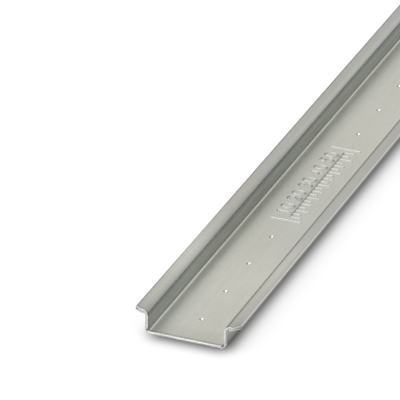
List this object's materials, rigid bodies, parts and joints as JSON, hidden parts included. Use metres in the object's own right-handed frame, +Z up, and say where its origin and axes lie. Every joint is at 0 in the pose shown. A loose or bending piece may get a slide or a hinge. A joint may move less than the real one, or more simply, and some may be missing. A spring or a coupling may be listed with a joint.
{
  "type": "din rail",
  "caption": "Straight steel mounting rail of top-hat section, with outward lips that terminal blocks and switchgear clip onto.",
  "frame": {"origin": "middle of the rail's underside, halfway along its length", "axes": "+Y along the rail, +Z up from the underside to the lips, +X across the rail"},
  "size_m": [0.035, 0.5, 0.0075],
  "materials": {
    "zinc_plated_steel": "satin zinc plating with a faint warm passivation, fine rolling lines along the rail"
  },
  "bodies": {
    "root": {"rail": "zinc_plated_steel"}
  },
  "joints": []
}
